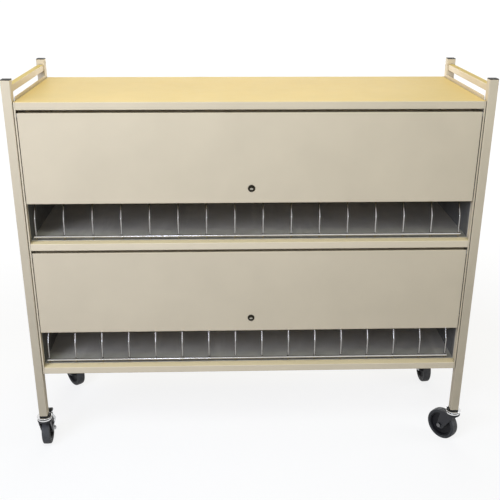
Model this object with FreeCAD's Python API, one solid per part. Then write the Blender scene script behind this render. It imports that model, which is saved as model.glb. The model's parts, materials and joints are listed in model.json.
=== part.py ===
import FreeCAD, Part
import math
import os

# Medical chart rack: a four-post steel cart on swivel casters with two
# compartments of wire-divided binder slots, each closed by a locking panel
# that swings up and recedes under the shelf above it.
#
# Millimetres, +Z up, origin on the floor under the middle of the cart.
# +X runs along the cart to the right of a user, the user stands at -Y.

V = FreeCAD.Vector

# ---- construction -----------------------------------------------------------
OVERLAP = 1.0               # cutters and fused pieces reach this far past a face

# ---- overall ---------------------------------------------------------------
WIDTH = 1336.0              # over the posts
DEPTH = 438.0               # over the posts
CASTER_HEIGHT = 125.0       # lower end of the posts above the floor
LEG_BELOW_DECK = 174.0      # bottom deck above the lower end of the posts
SHELF_PITCH = 408.0         # deck to deck
POST_ABOVE_DECK = 60.0      # top of the post caps above the top deck

# ---- posts, caps and handles ----------------------------------------------
POST = 25.4
POST_WALL = 1.6
POST_CORNER_R = 2.2
CAP_THICKNESS = 2.0
CAP_PLUG_DEPTH = 12.0
CAP_EDGE = 0.7
HANDLE = 19.05              # square tube
HANDLE_WALL = 1.5
HANDLE_CORNER_R = 2.0
HANDLE_TOP_ABOVE_DECK = 42.0

# ---- sheet metal body -----------------------------------------------------
SHEET = 1.2
BEND_R = 0.8                # inside radius of every fold
BODY_GAP = 1.0              # between a post and the side panel beside it
BODY_RECESS = 3.0           # lips and jambs behind the posts' faces
JAMB_WIDTH = 5.2
LIP_HEIGHT = 21.6
LIP_HEM = 12.0
LIP_END_GAP = 0.2           # between a lip's end and the jamb
DECK_FLANGE_HEIGHT = 15.0
DECK_FLANGE_INSET = 30.0
END_UPSTAND = 10.5          # side panels above the top deck

# ---- frame bolts ----------------------------------------------------------
BOLT_D = 5.0
BOLT_HEAD_D = 9.0
BOLT_HEAD_H = 3.0
BOLT_WASHER_D = 12.0
BOLT_BELOW_DECK = 11.0
BOLT_HOLE_CLEARANCE = 0.1
BOLT_PAST_WALL = 2.0

# ---- liners ---------------------------------------------------------------
LINER_THICKNESS = 1.5
LINER_SETBACK = 30.5        # front edge behind the posts' faces
LINER_HEIGHT = 200.0

# ---- wire dividers --------------------------------------------------------
SLOT_PITCH = 82.55
SLOT_COUNT = 15
RACK_OFFSET_X = -6.0        # the loose rack sits a little left of the middle
WIRE_D = 5.2
RAIL_D = 6.0
FRONT_RAIL_DEPTH = 28.0     # rail axis behind the posts' faces
RAIL_HEIGHT = 13.0          # rail axis above the deck
RAIL_OVERHANG = 5.0         # rail end beyond the last wire's axis
REAR_LEG_INSET = 40.6       # rear leg's axis ahead of the back panel
KNEE_HEIGHT = 66.0          # bend of the front leg above the deck
SLOPE_DEG = 61.0            # upper leg above the horizontal
HOOP_HEIGHT = 215.0
KNEE_R = 14.0
SHOULDER_R = 30.0

# ---- doors ----------------------------------------------------------------
PANEL_RECESS = 4.5          # panel face behind the posts' faces
PANEL_DEPTH = 19.0
PANEL_HEIGHT = 258.6
PANEL_TOP_GAP = 7.8         # between the lip above and the panel
PANEL_SIDE_GAP = 1.8        # between a jamb and the panel
PANEL_HEM = 9.0
PANEL_EDGE_R = 1.6
PIVOT_BELOW_TOP = 8.0       # shaft axis below the panel's top edge
SHAFT_D = 6.0
DOOR_TRAVEL = 240.0
RUNNING_CLEARANCE = 0.05    # radial, shaft in hole

# ---- door tracks and glides -----------------------------------------------
TRACK_WALL = 1.0
TRACK_DEPTH = 5.2           # how far a channel stands off the side panel
GLIDE_LENGTH = 15.0
GLIDE_HEIGHT = 10.0
GLIDE_CORNER_R = 2.0
GLIDE_CLEARANCE = 0.3
GLIDE_INSET = 0.1           # behind the channel's open side
TRACK_END_SPARE = 3.0

# ---- locks ----------------------------------------------------------------
LOCK_ABOVE_EDGE = 43.5      # lock axis above the panel's lower edge
LOCK_FLANGE_D = 20.0
LOCK_FLANGE_H = 2.2
LOCK_BARREL_D = 17.0
LOCK_BARREL_LENGTH = 9.0    # behind the panel's face
LOCK_NUT_AF = 22.0
LOCK_NUT_H = 4.0
PLUG_D = 12.0
PLUG_HEAD_D = 14.4
PLUG_HEAD_H = 1.0
PLUG_TAIL = 6.0             # square
KEYWAY_WIDTH = 1.6
KEYWAY_HEIGHT = 8.0
KEYWAY_DEPTH = 2.4
CAM_GAP = 0.3
CAM_THICKNESS = 2.0
CAM_PIN_D = 3.0
CAM_HUB_D = 13.0
CAM_PAD_D = 7.2
CAM_PIN_HEAD_D = 5.2
CAM_PIN_HEAD_H = 1.0
BOLT_BAR_TRAVEL = 10.0
BOLT_BAR_PROTRUSION = 5.0   # locked bar end beyond the panel's end
BAR_THICKNESS = 2.0
BAR_HEIGHT = 10.0
BAR_CORNER_R = 1.5
BAR_END_SPARE = 1.0         # bar beyond the cam's pad
BAR_SPACING = 2.0           # between the left and the right bar
BAR_SLOT_CLEARANCE = 0.5    # pin to slot side
BAR_GUIDE_CLEARANCE = 0.3
GUIDE_POSITIONS = (170.0, 470.0)
GUIDE_WIDTH = 14.0
GUIDE_WALL = 3.0
GUIDE_CORNER_R = 2.0
STRIKE_DEPTH = 3.0
STRIKE_HEIGHT = 26.0
STRIKE_REACH = 4.2          # off the side panel
STRIKE_GAP = 0.3

# ---- casters --------------------------------------------------------------
WHEEL_D = 101.6
TREAD_WIDTH = 25.4
TREAD_THICKNESS = 10.5
TREAD_SHOULDER_R = 4.0
TRAIL = 34.0                # axle behind the swivel axis
AXLE_D = 8.0
AXLE_HEX_AF = 13.0
AXLE_HEX_H = 5.0
AXLE_END_SPARE = 1.5        # thread past the nut
HUB_D = 28.0
HUB_DRAFT = 2.0             # the hub's end is this much smaller in radius
HUB_SIDE_GAP = 0.6          # hub end to fork leg
WEB_THICKNESS = 7.0
WEB_FILLET = 1.5
RIM_THICKNESS = 4.0
RIM_INSET = 1.2             # rim edge inside the tread's side
LEG_THICKNESS = 3.0
WHEEL_SIDE_GAP = 2.5        # tread to fork leg
LEG_FOOT_R = 11.0
LEG_SHOULDER_DROP = 6.0     # crown's flange on the legs, below the crown
CROWN_THICKNESS = 4.0
CROWN_R = 22.5              # round nose
LEG_FRONT = 12.0            # legs' front edge ahead of the swivel axis
LEG_CORNER_R = 7.0
CROWN_REAR = 33.0           # legs' rear edge behind the swivel axis, at the crown
CROWN_OPENING = 1.0         # rear opening of the crown, behind the race's edge
RACE_D = 47.0
RACE_HEIGHT = 13.0
RACE_LOWER_D = 43.0         # the lower cup is smaller
RACE_GROOVE = 2.6
RACE_GAP = 0.4              # race to crown
KINGPIN_D = 8.0
KINGPIN_HEAD_D = 14.0
KINGPIN_HEAD_H = 2.0
STEM_D = 11.1
STEM_LENGTH = 38.0
SOCKET_FLANGE = 4.5
SOCKET_LENGTH = 42.0
CASTER_TRAIL_DEG = {        # trailing direction, counter-clockwise from +Y
    "front_left": 4.0,
    "front_right": 39.0,
    "rear_left": 219.0,
    "rear_right": 184.0,
}
BRAKED = ("front_left", "rear_right")

# ---- brake pedals and brackets --------------------------------------------
PEDAL_PIVOT_Y = 29.5        # behind the swivel axis
PEDAL_PIVOT_ABOVE_CROWN = 1.8
PEDAL_BARREL_D = 9.0
PEDAL_PIN_D = 4.0
PEDAL_PIN_SPARE = 1.0       # pin past the bracket
PEDAL_SIDE_GAP = 0.5
PEDAL_WIDTH = 26.0          # between the bracket and the far ear
PEDAL_TOE_WIDTH = 36.0
PEDAL_NECK = 7.5            # narrow part behind the pivot
PEDAL_THICKNESS = 3.2
PEDAL_REACH = 30.0          # pivot to the toe edge
PEDAL_HUMP = 7.5            # top of the arch above the pivot
PEDAL_HUMP_LENGTH = 9.0
PEDAL_HUMP_BACK = 9.0       # arch ahead of the toe edge
PEDAL_TOE_DROP = 4.0
PEDAL_TOE_R = 1.2
PEDAL_ARCH_R = 4.0
PEDAL_ROOT_DROP = 1.0       # lever's underside below the pivot
SHOE_LENGTH = 11.0
SHOE_START = 9.5            # behind the pivot
SHOE_WIDTH = 16.0
SHOE_GAP = 2.0              # shoe to the level of the tread's top when released
EAR_R = 5.0
BRACKET_THICKNESS = 2.0
BRACKET_FOOT_R = 9.5
BRACKET_HEAD_R = 6.0
BRACKET_FLARE = 8.0         # outward bend of the bracket between foot and head
BRACKET_FLARE_PLACE = 0.6   # share of the way up from the foot to the head

# ---- derived levels and places --------------------------------------------
FRONT = -DEPTH / 2
BACK = DEPTH / 2
DECK_BOTTOM = CASTER_HEIGHT + LEG_BELOW_DECK
DECK_MIDDLE = DECK_BOTTOM + SHELF_PITCH
DECK_TOP = DECK_MIDDLE + SHELF_PITCH
POST_TUBE_TOP = DECK_TOP + POST_ABOVE_DECK - CAP_THICKNESS
POST_X = (WIDTH - POST) / 2
POST_Y = (DEPTH - POST) / 2
SIDE_OUT = WIDTH / 2 - POST - BODY_GAP
SIDE_IN = SIDE_OUT - SHEET
JAMB_EDGE = SIDE_OUT - JAMB_WIDTH
BODY_FRONT = FRONT + BODY_RECESS
BODY_BACK = BACK - BODY_RECESS
BACK_PANEL_OUT = BODY_BACK - SHEET
BACK_PANEL_IN = BACK_PANEL_OUT - SHEET
PANEL_HALF = JAMB_EDGE - PANEL_SIDE_GAP
PANEL_FACE = FRONT + PANEL_RECESS
PIVOT_Y = PANEL_FACE + PANEL_DEPTH / 2
WHEEL_R = WHEEL_D / 2
LEG_INNER = TREAD_WIDTH / 2 + WHEEL_SIDE_GAP
LEG_OUTER = LEG_INNER + LEG_THICKNESS
RACE_TOP = CASTER_HEIGHT - SOCKET_FLANGE
RACE_BOTTOM = RACE_TOP - RACE_HEIGHT
CROWN_TOP = RACE_BOTTOM - RACE_GAP
CROWN_BOTTOM = CROWN_TOP - CROWN_THICKNESS
PEDAL_PIVOT_Z = CROWN_TOP + PEDAL_PIVOT_ABOVE_CROWN
TREAD_INNER_R = WHEEL_R - TREAD_THICKNESS
COMPARTMENTS = {"upper": DECK_MIDDLE, "lower": DECK_BOTTOM}
CORNERS = {
    "front_left": (-1, -1),
    "front_right": (1, -1),
    "rear_left": (-1, 1),
    "rear_right": (1, 1),
}


# ---- helpers --------------------------------------------------------------
def save(name, shape):
    """Write one sub-part to its own STEP file."""
    shape.exportStep(os.path.join("parts", name + ".step"))


def box(x0, x1, y0, y1, z0, z1):
    """Box between two corners."""
    return Part.makeBox(x1 - x0, y1 - y0, z1 - z0, V(x0, y0, z0))


def rod(radius, start, end):
    """Round bar from one point to another."""
    along = end - start
    return Part.makeCylinder(radius, along.Length, start, along)


def fuse(first, *others):
    """One solid from several that meet."""
    return first.fuse(list(others)).removeSplitter()


def rounded_wire(points, radii):
    """Closed wire through points, each corner rounded by its own radius."""
    count = len(points)
    starts, ends, mids = [], [], []
    for i, corner in enumerate(points):
        if radii[i] <= 0:
            starts.append(corner)
            ends.append(corner)
            mids.append(None)
            continue
        back = (points[i - 1] - corner).normalize()
        ahead = (points[(i + 1) % count] - corner).normalize()
        half = back.getAngle(ahead) / 2
        reach = radii[i] / math.tan(half)
        bisector = (back + ahead).normalize()
        centre = corner + bisector * (radii[i] / math.sin(half))
        starts.append(corner + back * reach)
        ends.append(corner + ahead * reach)
        mids.append(centre - bisector * radii[i])
    edges = []
    for i in range(count):
        if mids[i] is not None:
            edges.append(Part.Arc(starts[i], mids[i], ends[i]).toShape())
        following = starts[(i + 1) % count]
        if (following - ends[i]).Length > 1e-6:
            edges.append(Part.LineSegment(ends[i], following).toShape())
    return Part.Wire(edges)


def prism(points, radii, along):
    """Extrusion of a rounded outline; one radius may stand for all corners."""
    if not isinstance(radii, (list, tuple)):
        radii = [radii] * len(points)
    return Part.Face(rounded_wire(points, radii)).extrude(along)


def square_tube(size, wall, corner_r, length, base, along, across):
    """Hollow square tube with rounded corners, from base along a unit axis."""
    other = along.cross(across)

    def ring(half, radius):
        corners = [(-1, -1), (1, -1), (1, 1), (-1, 1)]
        points = [base + across * (a * half) + other * (b * half) for a, b in corners]
        return prism(points, radius, along * length)

    outer = ring(size / 2, corner_r)
    return outer.cut(ring(size / 2 - wall, max(corner_r - wall, 0.4)))


def bent_sheet(path, side, along, gauge=SHEET):
    """Folded sheet: path is the outer line of its section, side is +1 when the
    metal lies to the left of the path, and along is the extrusion."""
    normal = V(along).normalize()
    inner, radii_out, radii_in = [], [], []
    last = len(path) - 1
    for i, point in enumerate(path):
        before = (point - path[i - 1]).normalize() if i > 0 else None
        after = (path[i + 1] - point).normalize() if i < last else None
        left_before = normal.cross(before) * side if before else None
        left_after = normal.cross(after) * side if after else None
        if before is None or after is None:
            inner.append(point + (left_after or left_before) * gauge)
            radii_out.append(0)
            radii_in.append(0)
            continue
        mitre = (left_before + left_after).normalize()
        inner.append(point + mitre * (gauge / mitre.dot(left_before)))
        folds_to_metal = left_before.dot(after) > 0
        radii_out.append(BEND_R + gauge if folds_to_metal else BEND_R)
        radii_in.append(BEND_R if folds_to_metal else BEND_R + gauge)
    points = list(path) + inner[::-1]
    return prism(points, radii_out + radii_in[::-1], along)


def mirrored_x(shape):
    """The same piece on the other side of the cart."""
    return shape.mirror(V(0, 0, 0), V(1, 0, 0))


# ---- posts, caps, handles -------------------------------------------------
def make_post(sign_x, sign_y):
    base = V(sign_x * POST_X, sign_y * POST_Y, CASTER_HEIGHT)
    post = square_tube(POST, POST_WALL, POST_CORNER_R,
                       POST_TUBE_TOP - CASTER_HEIGHT, base, V(0, 0, 1), V(1, 0, 0))
    for deck in (DECK_TOP, DECK_MIDDLE, DECK_BOTTOM):
        start = V(sign_x * (WIDTH / 2 - POST - BODY_GAP), sign_y * POST_Y,
                  deck - BOLT_BELOW_DECK)
        end = start + V(sign_x * POST / 2, 0, 0)
        post = post.cut(rod(BOLT_D / 2 + BOLT_HOLE_CLEARANCE, start, end))
    return post


def make_post_cap(sign_x, sign_y):
    centre = V(sign_x * POST_X, sign_y * POST_Y, POST_TUBE_TOP)
    corners = [(-1, -1), (1, -1), (1, 1), (-1, 1)]

    def plate(half, radius, height):
        points = [centre + V(a * half, b * half, 0) for a, b in corners]
        return prism(points, radius, V(0, 0, height))

    head = plate(POST / 2, POST_CORNER_R, CAP_THICKNESS)
    top_edges = [e for e in head.Edges if e.BoundBox.ZMin > POST_TUBE_TOP + CAP_THICKNESS / 2]
    head = head.makeChamfer(CAP_EDGE, top_edges)
    plug = plate(POST / 2 - POST_WALL, POST_CORNER_R - POST_WALL, -CAP_PLUG_DEPTH)
    return fuse(head, plug)


def make_handle(sign_x):
    reach = POST_Y - POST / 2
    centre_z = DECK_TOP + HANDLE_TOP_ABOVE_DECK - HANDLE / 2
    return square_tube(HANDLE, HANDLE_WALL, HANDLE_CORNER_R, 2 * reach,
                       V(sign_x * POST_X, -reach, centre_z), V(0, 1, 0), V(1, 0, 0))


# ---- sheet metal body -----------------------------------------------------
def make_shelf(deck, closed_back):
    """Deck with a hemmed front lip, and a rear lip outside the back panel, or a
    rear flange inside it when the back panel passes behind the shelf."""
    half = JAMB_EDGE - LIP_END_GAP
    rear = BODY_BACK if closed_back else BACK_PANEL_IN
    low = deck - LIP_HEIGHT
    path = [V(-half, BODY_FRONT + LIP_HEM, low), V(-half, BODY_FRONT, low),
            V(-half, BODY_FRONT, deck), V(-half, rear, deck), V(-half, rear, low)]
    shelf = bent_sheet(path, -1, V(2 * half, 0, 0))
    ends = []
    for sign in (-1, 1):
        x_in, x_out = sorted((sign * (half - OVERLAP), sign * SIDE_IN))
        rear_end = BACK_PANEL_OUT - BEND_R if closed_back else BACK_PANEL_IN
        ends.append(box(x_in, x_out, BODY_FRONT + SHEET + BEND_R, rear_end, deck - SHEET, deck))
        x_in, x_out = sorted((sign * (SIDE_IN - SHEET), sign * SIDE_IN))
        ends.append(box(x_in, x_out, FRONT + DECK_FLANGE_INSET, BACK - DECK_FLANGE_INSET,
                        deck - DECK_FLANGE_HEIGHT, deck))
    return fuse(shelf, *ends)


def make_side_panel():
    """Right-hand side panel: a flat web with its upstand, and the folded edge
    strips, welded to it, that make the front jamb and the rear flange."""
    low = DECK_BOTTOM - LIP_HEIGHT
    fold_end = BODY_FRONT + SHEET + BEND_R
    path = [V(JAMB_EDGE, BODY_FRONT, low), V(SIDE_OUT, BODY_FRONT, low),
            V(SIDE_OUT, fold_end, low)]
    jamb = bent_sheet(path, 1, V(0, 0, DECK_TOP - low))
    flange = jamb.mirror(V(0, 0, 0), V(0, 1, 0))
    web = box(SIDE_IN, SIDE_OUT, fold_end, -fold_end, low, DECK_TOP)
    reach = POST_Y - POST / 2
    top = DECK_TOP + END_UPSTAND
    upstand = prism([V(SIDE_IN, -reach, DECK_TOP - OVERLAP), V(SIDE_IN, reach, DECK_TOP - OVERLAP),
                     V(SIDE_IN, reach, top), V(SIDE_IN, -reach, top)],
                    [0, 0, END_UPSTAND / 2, END_UPSTAND / 2], V(SHEET, 0, 0))
    web = fuse(web, upstand)
    for deck in (DECK_TOP, DECK_MIDDLE, DECK_BOTTOM):
        for sign_y in (-1, 1):
            start = V(SIDE_IN - OVERLAP, sign_y * POST_Y, deck - BOLT_BELOW_DECK)
            end = start + V(SHEET + 2 * OVERLAP, 0, 0)
            web = web.cut(rod(BOLT_D / 2 + BOLT_HOLE_CLEARANCE, start, end))
    return Part.makeCompound([web, jamb, flange])


def make_back_panel():
    """Flat sheet inside the side panels' rear flanges, clear of their bends."""
    half = SIDE_IN - BEND_R
    return box(-half, half, BACK_PANEL_IN, BACK_PANEL_OUT,
               DECK_BOTTOM, DECK_TOP - SHEET - BEND_R)


def make_frame_bolt(sign_x, sign_y, deck):
    """Bolt with the spacer washer that keeps body and post apart."""
    z = deck - BOLT_BELOW_DECK
    y = sign_y * POST_Y

    def disc(diameter, x0, x1):
        return rod(diameter / 2, V(sign_x * x0, y, z), V(sign_x * x1, y, z))

    head = disc(BOLT_HEAD_D, SIDE_IN - BOLT_HEAD_H, SIDE_IN)
    shank = disc(BOLT_D, SIDE_IN - OVERLAP, SIDE_OUT + BODY_GAP + POST_WALL + BOLT_PAST_WALL)
    washer = disc(BOLT_WASHER_D, SIDE_OUT, SIDE_OUT + BODY_GAP)
    return fuse(head, shank, washer)


def make_liner(deck):
    """Loose plastic sheets: the floor, both ends and the foot of the back."""
    front = FRONT + LINER_SETBACK
    low, high = deck + LINER_THICKNESS, deck + LINER_HEIGHT
    end_in = SIDE_IN - LINER_THICKNESS
    floor = box(-SIDE_IN, SIDE_IN, front, BACK_PANEL_IN, deck, low)
    end = box(end_in, SIDE_IN, front, BACK_PANEL_IN, low, high)
    back = box(-end_in, end_in, BACK_PANEL_IN - LINER_THICKNESS, BACK_PANEL_IN, low, high)
    return Part.makeCompound([floor, end, mirrored_x(end), back])


# ---- wire rack ------------------------------------------------------------
def wire_x(index):
    """Axis of divider wire number index, counted from the left."""
    return RACK_OFFSET_X + (index - SLOT_COUNT / 2) * SLOT_PITCH


def front_leg_y():
    return FRONT + FRONT_RAIL_DEPTH + (RAIL_D + WIRE_D) / 2


def rear_leg_y():
    return BACK_PANEL_IN - REAR_LEG_INSET


def make_hoop(deck):
    """One divider at x = 0: front leg, knee, sloped leg, top run and rear leg,
    as straight runs of wire with a bend of its own radius between them."""
    foot = deck + LINER_THICKNESS
    slope_run = (HOOP_HEIGHT - KNEE_HEIGHT) / math.tan(math.radians(SLOPE_DEG))
    y_front = front_leg_y()
    y_rear = rear_leg_y()
    corners = [V(0, y_front, foot), V(0, y_front, deck + KNEE_HEIGHT),
               V(0, y_front + slope_run, deck + HOOP_HEIGHT),
               V(0, y_rear, deck + HOOP_HEIGHT), V(0, y_rear, foot)]
    radii = [KNEE_R, SHOULDER_R, SHOULDER_R]
    pieces = []
    cursor = corners[0]
    for i, radius in enumerate(radii, start=1):
        back = (corners[i - 1] - corners[i]).normalize()
        ahead = (corners[i + 1] - corners[i]).normalize()
        half = back.getAngle(ahead) / 2
        reach = radius / math.tan(half)
        start = corners[i] + back * reach
        centre = corners[i] + (back + ahead).normalize() * (radius / math.sin(half))
        pieces.append(rod(WIRE_D / 2, cursor, start))
        section = Part.Face(Part.Wire(Part.Circle(start, back, WIRE_D / 2).toShape()))
        turn = 180 - math.degrees(2 * half)
        pieces.append(section.revolve(centre, ahead.cross(back), turn))
        cursor = corners[i] + ahead * reach
    pieces.append(rod(WIRE_D / 2, cursor, corners[-1]))
    return fuse(*pieces)


def make_dividers(deck):
    hoop = make_hoop(deck)
    hoops = []
    for i in range(SLOT_COUNT + 1):
        placed = hoop.copy()
        placed.translate(V(wire_x(i), 0, 0))
        hoops.append(placed)
    return Part.makeCompound(hoops)


def make_rack_rails(deck):
    """Front rail ahead of the front legs, rear rail behind the rear legs."""
    x0 = wire_x(0) - RAIL_OVERHANG
    x1 = wire_x(SLOT_COUNT) + RAIL_OVERHANG
    z = deck + RAIL_HEIGHT
    rear_y = rear_leg_y() + (RAIL_D + WIRE_D) / 2
    rails = [rod(RAIL_D / 2, V(x0, y, z), V(x1, y, z))
             for y in (FRONT + FRONT_RAIL_DEPTH, rear_y)]
    return Part.makeCompound(rails)


# ---- doors ----------------------------------------------------------------
def panel_top(deck):
    """Top edge of the closed panel of the compartment that stands on deck."""
    return deck + SHELF_PITCH - LIP_HEIGHT - PANEL_TOP_GAP


def pivot_z(deck):
    return panel_top(deck) - PIVOT_BELOW_TOP


def lock_z(deck):
    return panel_top(deck) - PANEL_HEIGHT + LOCK_ABOVE_EDGE


def bar_z(deck, sign):
    """Middle of the right (+1) or left (-1) bolt bar."""
    return lock_z(deck) + sign * (BAR_HEIGHT + BAR_SPACING) / 2


CAM_Y = PANEL_FACE + LOCK_BARREL_LENGTH + CAM_GAP
BAR_Y = CAM_Y + CAM_THICKNESS + BAR_GUIDE_CLEARANCE
CAM_PIN_OFFSET = BOLT_BAR_TRAVEL / 2    # pin beside and above the lock axis


def make_door_panel(deck):
    """Pan with hemmed top and bottom returns and plain end returns."""
    top = panel_top(deck)
    low = top - PANEL_HEIGHT
    y0, y1 = PANEL_FACE, PANEL_FACE + PANEL_DEPTH
    path = [V(-PANEL_HALF, y1, low + PANEL_HEM), V(-PANEL_HALF, y1, low),
            V(-PANEL_HALF, y0, low), V(-PANEL_HALF, y0, top),
            V(-PANEL_HALF, y1, top), V(-PANEL_HALF, y1, top - PANEL_HEM)]
    panel = bent_sheet(path, -1, V(2 * PANEL_HALF, 0, 0))
    ends = []
    for sign in (-1, 1):
        x0, x1 = sorted((sign * (PANEL_HALF - SHEET), sign * PANEL_HALF))
        points = [V(x0, y0, low), V(x0, y1, low), V(x0, y1, top), V(x0, y0, top)]
        ends.append(prism(points, BEND_R + SHEET, V(x1 - x0, 0, 0)))
    panel = fuse(panel, *ends)
    end = PANEL_HALF + OVERLAP
    shaft_hole = rod(SHAFT_D / 2 + RUNNING_CLEARANCE, V(-end, PIVOT_Y, pivot_z(deck)),
                     V(end, PIVOT_Y, pivot_z(deck)))
    lock_hole = rod(LOCK_BARREL_D / 2, V(0, y0 - OVERLAP, lock_z(deck)),
                    V(0, y0 + SHEET + OVERLAP, lock_z(deck)))
    panel = panel.cut(shaft_hole).cut(lock_hole)
    gap = BAR_GUIDE_CLEARANCE
    for sign in (-1, 1):
        x0, x1 = sorted((sign * (PANEL_HALF - SHEET - OVERLAP), sign * end))
        middle = bar_z(deck, sign)
        panel = panel.cut(box(x0, x1, BAR_Y - gap, BAR_Y + BAR_THICKNESS + gap,
                              middle - BAR_HEIGHT / 2 - gap, middle + BAR_HEIGHT / 2 + gap))
    return panel


def make_door_shaft(deck):
    end = SIDE_IN - TRACK_WALL - GLIDE_CLEARANCE
    z = pivot_z(deck)
    return rod(SHAFT_D / 2, V(-end, PIVOT_Y, z), V(end, PIVOT_Y, z))


def make_door_glides(deck):
    """Nylon blocks on both shaft ends, with eased corners, one in each track."""
    x0 = SIDE_IN - TRACK_DEPTH + GLIDE_INSET
    x1 = SIDE_IN - TRACK_WALL - GLIDE_CLEARANCE
    z = pivot_z(deck)
    half_l, half_h = GLIDE_LENGTH / 2, GLIDE_HEIGHT / 2
    points = [V(x0, PIVOT_Y + a * half_l, z + b * half_h)
              for a, b in ((-1, -1), (1, -1), (1, 1), (-1, 1))]
    glide = prism(points, GLIDE_CORNER_R, V(x1 - x0, 0, 0))
    glide = glide.cut(rod(SHAFT_D / 2 + RUNNING_CLEARANCE, V(x0 - OVERLAP, PIVOT_Y, z),
                          V(x1 + OVERLAP, PIVOT_Y, z)))
    return Part.makeCompound([glide, mirrored_x(glide)])


def make_door_tracks():
    """Four channels, open towards the doors."""
    start = BODY_FRONT + SHEET + BEND_R
    end = PIVOT_Y + DOOR_TRAVEL + GLIDE_LENGTH / 2 + TRACK_END_SPARE
    half = GLIDE_HEIGHT / 2 + GLIDE_CLEARANCE
    tracks = []
    for deck in COMPARTMENTS.values():
        z = pivot_z(deck)
        outer = box(SIDE_IN - TRACK_DEPTH, SIDE_IN, start, end,
                    z - half - TRACK_WALL, z + half + TRACK_WALL)
        inner = box(SIDE_IN - TRACK_DEPTH - OVERLAP, SIDE_IN - TRACK_WALL,
                    start - OVERLAP, end - TRACK_WALL, z - half, z + half)
        track = outer.cut(inner)
        tracks += [track, mirrored_x(track)]
    return Part.makeCompound(tracks)


# ---- locks ----------------------------------------------------------------
def hexagon(across_flats, centre, along):
    """Hexagonal prism about an axis parallel to X or Y."""
    side_axis = V(0, 0, 1)
    other = V(along).normalize().cross(side_axis)
    radius = across_flats / math.sqrt(3)
    points = [centre + side_axis * (radius * math.cos(math.radians(60 * k)))
              + other * (radius * math.sin(math.radians(60 * k))) for k in range(6)]
    return prism(points, 0, along)


def make_lock_body(deck):
    """Flanged barrel with a bore and a counterbore, and the nut that clamps it."""
    z = lock_z(deck)
    y = PANEL_FACE

    def disc(diameter, y0, y1):
        return rod(diameter / 2, V(0, y0, z), V(0, y1, z))

    flange = disc(LOCK_FLANGE_D, y - LOCK_FLANGE_H, y)
    rim = [e for e in flange.Edges if e.BoundBox.YMax < y - LOCK_FLANGE_H + 0.01]
    flange = flange.makeFillet(LOCK_FLANGE_H / 2, rim)
    front = y - LOCK_FLANGE_H - OVERLAP
    barrel = disc(LOCK_BARREL_D, y - OVERLAP, y + LOCK_BARREL_LENGTH)
    bore = disc(PLUG_D + 2 * RUNNING_CLEARANCE, front, y + LOCK_BARREL_LENGTH + OVERLAP)
    recess = disc(PLUG_HEAD_D + 2 * CAM_GAP, front, y - LOCK_FLANGE_H + PLUG_HEAD_H + CAM_GAP)
    body = fuse(flange, barrel).cut(bore).cut(recess)
    nut = hexagon(LOCK_NUT_AF, V(0, y + SHEET, z), V(0, LOCK_NUT_H, 0))
    nut = nut.cut(disc(LOCK_BARREL_D, y, y + LOCK_BARREL_LENGTH))
    return Part.makeCompound([body, nut])


def make_lock_plug(deck):
    """Key plug: head, round body, keyway and a square tail for the cam."""
    z = lock_z(deck)
    front = PANEL_FACE - LOCK_FLANGE_H
    head = rod(PLUG_HEAD_D / 2, V(0, front, z), V(0, front + PLUG_HEAD_H, z))
    body = rod(PLUG_D / 2, V(0, front, z), V(0, CAM_Y, z))
    half = PLUG_TAIL / 2
    tail = box(-half, half, CAM_Y - OVERLAP, CAM_Y + CAM_THICKNESS, z - half, z + half)
    keyway = box(-KEYWAY_WIDTH / 2, KEYWAY_WIDTH / 2, front - OVERLAP, front + KEYWAY_DEPTH,
                 z - KEYWAY_HEIGHT / 2, z + KEYWAY_HEIGHT / 2)
    return fuse(head, body, tail).cut(keyway)


def make_lock_cam(deck):
    """Two-armed cam on the plug's tail, with a headed pin for each bolt bar."""
    z = lock_z(deck)
    offset = CAM_PIN_OFFSET
    back = CAM_Y + CAM_THICKNESS

    def disc(diameter, x, dz, y0, y1):
        return rod(diameter / 2, V(x, y0, z + dz), V(x, y1, z + dz))

    pieces = [disc(CAM_HUB_D, 0, 0, CAM_Y, back)]
    half = CAM_PAD_D / 2 / math.sqrt(2)
    arm = [(-offset - half, offset - half), (-offset + half, offset + half),
           (offset + half, -offset + half), (offset - half, -offset - half)]
    pieces.append(prism([V(x, CAM_Y, z + dz) for x, dz in arm], 0, V(0, CAM_THICKNESS, 0)))
    pin_end = BAR_Y + BAR_THICKNESS + BAR_GUIDE_CLEARANCE
    for sign in (-1, 1):
        x, dz = sign * offset, -sign * offset
        pieces.append(disc(CAM_PAD_D, x, dz, CAM_Y, back))
        pieces.append(disc(CAM_PIN_D, x, dz, CAM_Y, pin_end))
        pieces.append(disc(CAM_PIN_HEAD_D, x, dz, pin_end, pin_end + CAM_PIN_HEAD_H))
    half = PLUG_TAIL / 2
    seat = box(-half, half, CAM_Y - OVERLAP, back + OVERLAP, z - half, z + half)
    return fuse(*pieces).cut(seat)


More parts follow.
